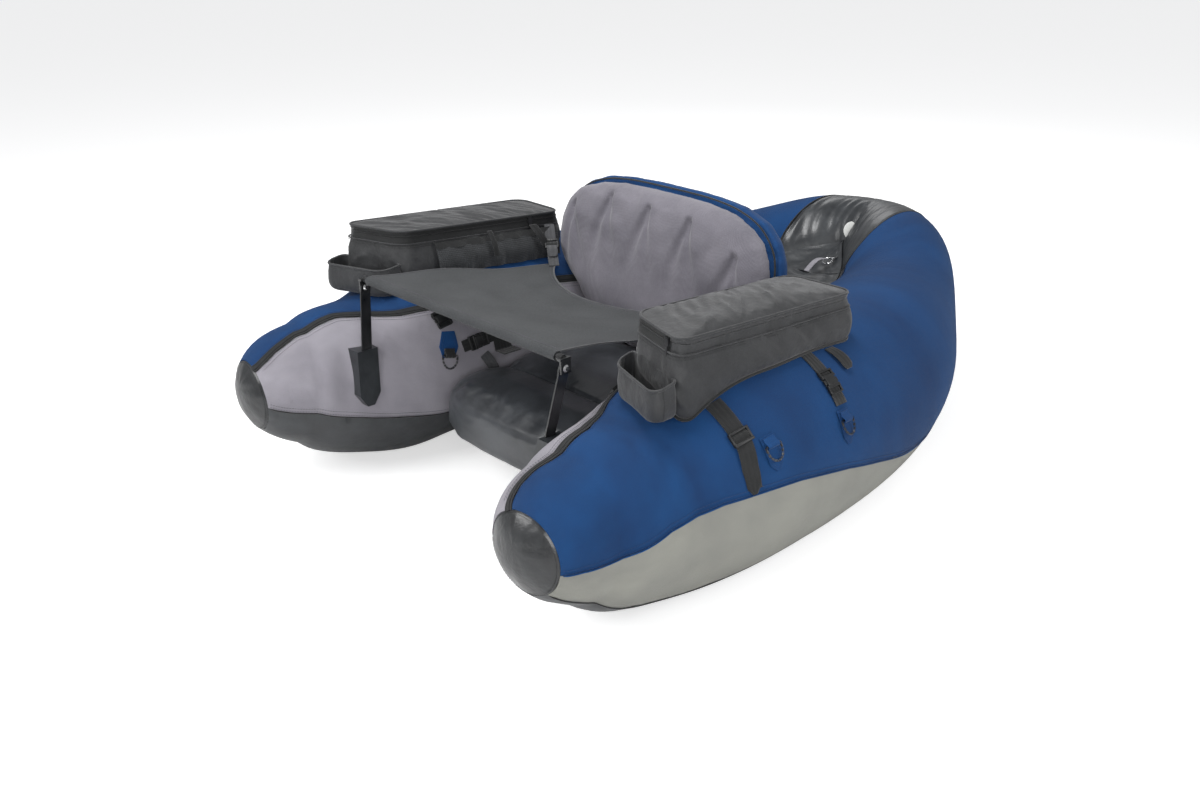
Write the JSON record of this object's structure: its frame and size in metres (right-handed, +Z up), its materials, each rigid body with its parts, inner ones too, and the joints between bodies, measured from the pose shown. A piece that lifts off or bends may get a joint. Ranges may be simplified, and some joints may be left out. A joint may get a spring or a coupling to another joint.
{
  "type": "float tube",
  "caption": "U-shaped inflated float tube with hung seat, reclining backrest, lift-out stripping apron and zipped side bags.",
  "frame": {"origin": "on the floor under the middle of the craft's box", "axes": "+Z up, open noses to -Y, closed stern to +Y, +X is the sitter's left"},
  "size_m": [1.0968, 1.4186, 0.5068],
  "materials": {
    "blue_polyester": "woven, matt",
    "grey_polyester": "woven, matt",
    "pale_coated_fabric": "coated, satin",
    "black_coated_fabric": "coated, glossy",
    "black_nylon": "woven, satin",
    "apron_cloth": "coated weave, matt",
    "black_webbing": "ribbed webbing",
    "black_acetal": "moulded",
    "clear_urethane": "smooth film",
    "black_steel": "powder coated",
    "bright_rivet": "polished"
  },
  "bodies": {
    "hull": {"seat_cushion": "black_coated_fabric", "stern_cover": "black_coated_fabric", "storage_deck": "black_nylon", "left_air_bladder": "clear_urethane", "left_air_valve": "black_acetal", "left_bag_body": "black_nylon", "left_bar_pocket": "black_coated_fabric", "left_bottom_cover": "black_coated_fabric", "left_cover_zip": "black_webbing", "left_cup_pocket": "black_nylon", "left_front_ring_tab": "blue_polyester", "left_front_strap": "black_webbing", "left_harness_buckle": "black_webbing", "left_harness_ring_tab": "blue_polyester", "left_inner_cover": "grey_polyester", "left_lower_cover": "pale_coated_fabric", "left_nose_cap": "black_coated_fabric", "left_rear_ring_tab": "blue_polyester", "left_rear_strap": "black_webbing", "left_seat_strap": "black_webbing", "left_top_cover": "blue_polyester", "right_air_bladder": "clear_urethane", "right_air_valve": "black_acetal", "right_bag_body": "black_nylon", "right_bar_pocket": "black_coated_fabric", "right_bottom_cover": "black_coated_fabric", "right_cover_zip": "black_webbing", "right_cup_pocket": "black_nylon", "right_front_ring_tab": "blue_polyester", "right_front_strap": "black_webbing", "right_harness_buckle": "black_webbing", "right_harness_ring_tab": "blue_polyester", "right_inner_cover": "grey_polyester", "right_lower_cover": "pale_coated_fabric", "right_nose_cap": "black_coated_fabric", "right_rear_ring_tab": "blue_polyester", "right_rear_strap": "black_webbing", "right_seat_strap": "black_webbing", "right_top_cover": "blue_polyester"},
    "backrest": {"backrest_front": "grey_polyester", "backrest_back": "blue_polyester"},
    "apron_frame": {"apron": "apron_cloth", "crossbar": "black_steel", "left_bar_leg": "black_steel", "right_bar_leg": "black_steel", "left_bar_rivet": "bright_rivet", "right_bar_rivet": "bright_rivet", "left_apron_strap": "black_webbing", "right_apron_strap": "black_webbing"},
    "left_lid": {"left_bag_lid": "black_nylon"},
    "right_lid": {"right_bag_lid": "black_nylon"},
    "left_slider": {"left_zip_slider": "black_steel"},
    "right_slider": {"right_zip_slider": "black_steel"},
    "left_front_d_ring": {"left_front_ring": "black_steel"},
    "right_front_d_ring": {"right_front_ring": "black_steel"},
    "left_rear_d_ring": {"left_rear_ring": "black_steel"},
    "right_rear_d_ring": {"right_rear_ring": "black_steel"},
    "left_harness_d_ring": {"left_harness_ring": "black_steel"},
    "right_harness_d_ring": {"right_harness_ring": "black_steel"}
  },
  "joints": [
    {"name": "backrest_recline", "type": "hinge", "parent": "hull", "child": "backrest", "pos_m": [0, -0.08, 0.1848], "axis": [-1, 0, 0], "range_deg": [0, 10]},
    {"name": "apron_lift", "type": "slide", "parent": "hull", "child": "apron_frame", "axis": [0, 0.165, 0.9863], "range_m": [0, 0.12]},
    {"name": "left_lid_hinge", "type": "hinge", "parent": "hull", "child": "left_lid", "pos_m": [0.43772, -0.24415, 0.40282], "axis": [-0.0226, 0.9981, -0.0578], "range_deg": [0, 100]},
    {"name": "right_lid_hinge", "type": "hinge", "parent": "hull", "child": "right_lid", "pos_m": [-0.43772, -0.24415, 0.40282], "axis": [-0.0226, -0.9981, 0.0578], "range_deg": [0, 100]},
    {"name": "left_slider_slide", "type": "slide", "parent": "hull", "child": "left_slider", "axis": [-0.9578, 0.2874, 0], "range_m": [0, 0.06]},
    {"name": "right_slider_slide", "type": "slide", "parent": "hull", "child": "right_slider", "axis": [-0.0226, -0.9977, 0.0646], "range_m": [0, 0.2]},
    {"name": "left_front_ring_swing", "type": "hinge", "parent": "hull", "child": "left_front_d_ring", "pos_m": [0.5285, -0.34269, 0.26124], "axis": [-0.072, -0.9919, -0.1043], "range_deg": [0, 140]},
    {"name": "right_front_ring_swing", "type": "hinge", "parent": "hull", "child": "right_front_d_ring", "pos_m": [-0.5285, -0.34269, 0.26124], "axis": [-0.072, 0.9919, 0.1043], "range_deg": [0, 140]},
    {"name": "left_rear_ring_swing", "type": "hinge", "parent": "hull", "child": "left_rear_d_ring", "pos_m": [0.53362, -0.17668, 0.2512], "axis": [0.0801, -0.996, 0.0396], "range_deg": [0, 140]},
    {"name": "right_rear_ring_swing", "type": "hinge", "parent": "hull", "child": "right_rear_d_ring", "pos_m": [-0.53362, -0.17668, 0.2512], "axis": [0.0801, 0.996, -0.0396], "range_deg": [0, 140]},
    {"name": "left_harness_ring_swing", "type": "hinge", "parent": "hull", "child": "left_harness_d_ring", "pos_m": [0.20428, -0.39091, 0.21078], "axis": [-0.2035, 0.9575, -0.2044], "range_deg": [0, 140]},
    {"name": "right_harness_ring_swing", "type": "hinge", "parent": "hull", "child": "right_harness_d_ring", "pos_m": [-0.20428, -0.39091, 0.21078], "axis": [-0.2035, -0.9575, 0.2044], "range_deg": [0, 140]}
  ]
}
